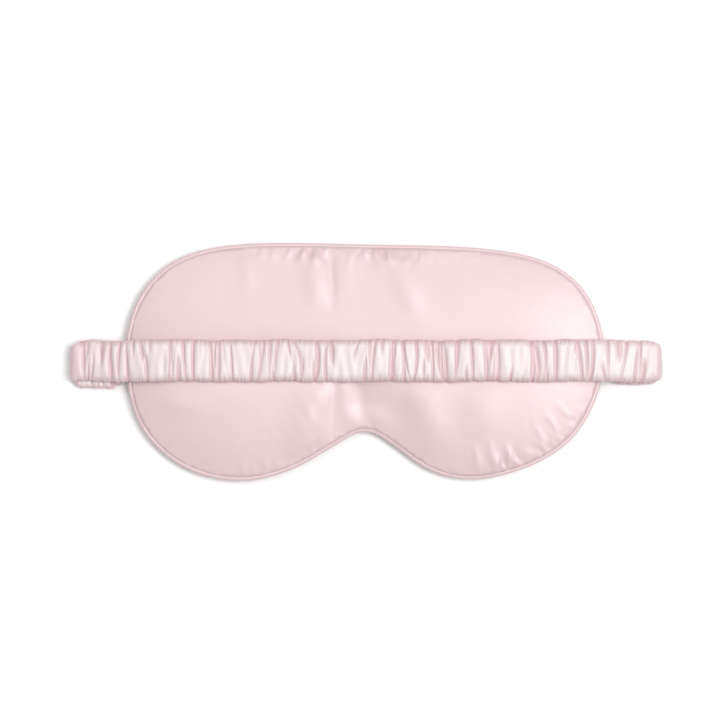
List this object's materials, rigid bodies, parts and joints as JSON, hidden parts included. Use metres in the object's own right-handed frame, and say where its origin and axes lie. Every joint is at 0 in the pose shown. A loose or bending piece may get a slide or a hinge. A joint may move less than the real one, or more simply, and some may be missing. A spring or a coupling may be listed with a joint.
{
  "type": "sleep eye mask",
  "caption": "Padded satin sleep eye mask with a nose notch, piped edge and ruched elastic strap that wraps the head.",
  "frame": {"origin": "middle of the bounding box on the flat underside of the front panel", "axes": "+X along the mask's width, to the wearer's right; +Y to the brow; +Z away from the front panel, towards the face"},
  "size_m": [0.261, 0.1047, 0.0138],
  "materials": {
    "panel_satin": "pink satin, soft sheen",
    "piping_satin": "pink satin, bias cut",
    "strap_satin": "pink satin, gathered",
    "wadding": "white needled wadding",
    "lining": "matt black cloth",
    "cord": "twisted cotton cord",
    "elastic": "woven elastic",
    "thread": "polyester thread"
  },
  "bodies": {
    "mask_left": {"front_panel_left": "panel_satin", "face_panel_left": "panel_satin", "front_wadding_left": "wadding", "face_wadding_left": "wadding", "blackout_lining_left": "lining", "piping_sleeve_left": "piping_satin", "piping_cord_left": "cord", "strap_end_stitching_left": "thread"},
    "mask_right": {"front_panel_right": "panel_satin", "face_panel_right": "panel_satin", "front_wadding_right": "wadding", "face_wadding_right": "wadding", "blackout_lining_right": "lining", "piping_sleeve_right": "piping_satin", "piping_cord_right": "cord", "strap_end_stitching_right": "thread"},
    "strap_left": {"strap_sleeve_left": "strap_satin", "strap_elastic_left": "elastic"},
    "strap_right": {"strap_sleeve_right": "strap_satin", "strap_elastic_right": "elastic"}
  },
  "joints": [
    {"name": "nose_fold", "type": "hinge", "parent": "mask_left", "child": "mask_right", "pos_m": [0, 0, 0.014], "axis": [0, 1, 0], "range_deg": [-165, 0], "stiffness_Nm_per_rad": 0.01},
    {"name": "strap_lift", "type": "slide", "parent": "mask_left", "child": "strap_left", "axis": [0, 0, 1], "range_m": [0, 0.1], "stiffness_N_per_m": 12.5, "deforming": ["strap_sleeve_left", "strap_elastic_left"]},
    {"name": "strap_lift_right", "type": "slide", "parent": "mask_right", "child": "strap_right", "axis": [0, 0, 1], "range_m": [0, 0.1], "stiffness_N_per_m": 12.5, "deforming": ["strap_sleeve_right", "strap_elastic_right"]}
  ],
  "couplings": [
    {"joint": "strap_lift_right", "follows": "strap_lift", "ratio": 1}
  ]
}
